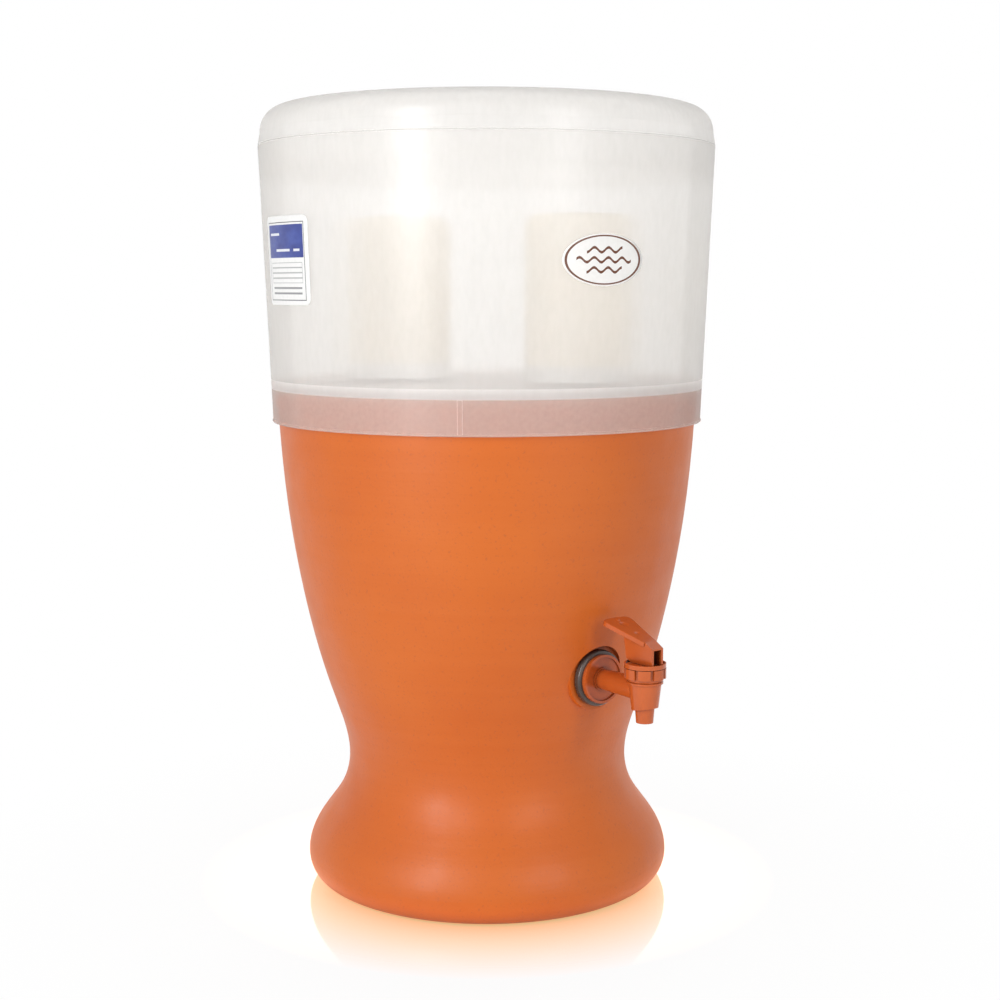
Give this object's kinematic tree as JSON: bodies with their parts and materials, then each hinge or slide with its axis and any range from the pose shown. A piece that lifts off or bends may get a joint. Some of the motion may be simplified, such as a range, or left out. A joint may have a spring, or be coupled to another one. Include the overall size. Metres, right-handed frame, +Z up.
{
  "type": "gravity water filter",
  "caption": "Waisted clay water pot with a plastic lever tap, under a clear lidded reservoir holding ceramic candle filters with float valves.",
  "frame": {"origin": "centre of the foot ring, on the pot's axis", "axes": "+Z up along the pot's axis, -Y out along the tap"},
  "size_m": [0.259, 0.2777, 0.447],
  "materials": {
    "clay": "smooth unglazed terracotta",
    "clay_plastic": "satin moulded plastic",
    "frosted_plastic": "frosted translucent polypropylene",
    "white_plastic": "moulded plastic",
    "dark_plastic": "moulded acetal",
    "candle_ceramic": "porous unglazed ceramic",
    "rubber": "matte rubber",
    "silicone": "white moulded silicone",
    "steel": "spring wire",
    "float_foam": "hollow moulded float"
  },
  "bodies": {
    "pot": {"clay_pot": "clay", "tap_body": "clay_plastic", "tap_outer_washer": "rubber", "tap_inner_washer": "rubber", "tap_lock_nut": "clay_plastic", "tap_bonnet": "clay_plastic", "tap_bonnet_gasket": "rubber"},
    "valve_stem": {"tap_stem": "dark_plastic", "tap_seat_plug": "rubber", "tap_spring": "steel"},
    "lever": {"tap_lever": "clay_plastic", "tap_lever_pin": "clay_plastic"},
    "reservoir": {"upper_reservoir": "frosted_plastic", "candle_washers": "silicone", "nut_washers": "silicone", "wing_nuts": "white_plastic", "candle_shell_front": "candle_ceramic", "candle_shell_rear": "candle_ceramic", "candle_base_front": "white_plastic", "candle_base_rear": "white_plastic", "float_valve_front": "white_plastic", "float_valve_rear": "white_plastic", "float_pin_front": "white_plastic", "float_pin_rear": "white_plastic"},
    "lid_body": {"lid": "frosted_plastic"},
    "front_float": {"float_arm_front": "white_plastic", "float_pad_front": "silicone", "float_front": "float_foam"},
    "rear_float": {"float_arm_rear": "white_plastic", "float_pad_rear": "silicone", "float_rear": "float_foam"}
  },
  "joints": [
    {"name": "reservoir_lift", "type": "slide", "parent": "pot", "child": "reservoir", "axis": [0, 0, 1], "range_m": [0, 0.12]},
    {"name": "lid_lift", "type": "slide", "parent": "reservoir", "child": "lid_body", "axis": [0, 0, 1], "range_m": [0, 0.08]},
    {"name": "stem_lift", "type": "slide", "parent": "pot", "child": "valve_stem", "axis": [0, 0, 1], "range_m": [0, 0.0027], "stiffness_N_per_m": 20, "springref_m": -0.006, "deforming": ["tap_spring"]},
    {"name": "lever_tilt", "type": "hinge", "parent": "valve_stem", "child": "lever", "pos_m": [0, -0.137, 0.15175], "axis": [-1, 0, 0], "range_deg": [0, 26]},
    {"name": "float_front_tilt", "type": "hinge", "parent": "reservoir", "child": "front_float", "pos_m": [0.01786, -0.05487, 0.2586], "axis": [0.454, -0.891, 0], "range_deg": [0, 15]},
    {"name": "float_rear_tilt", "type": "hinge", "parent": "reservoir", "child": "rear_float", "pos_m": [-0.01786, 0.05487, 0.2586], "axis": [-0.454, 0.891, 0], "range_deg": [0, 15]}
  ],
  "couplings": [
    {"joint": "lever_tilt", "follows": "stem_lift", "rad_per_m": 166.67}
  ]
}
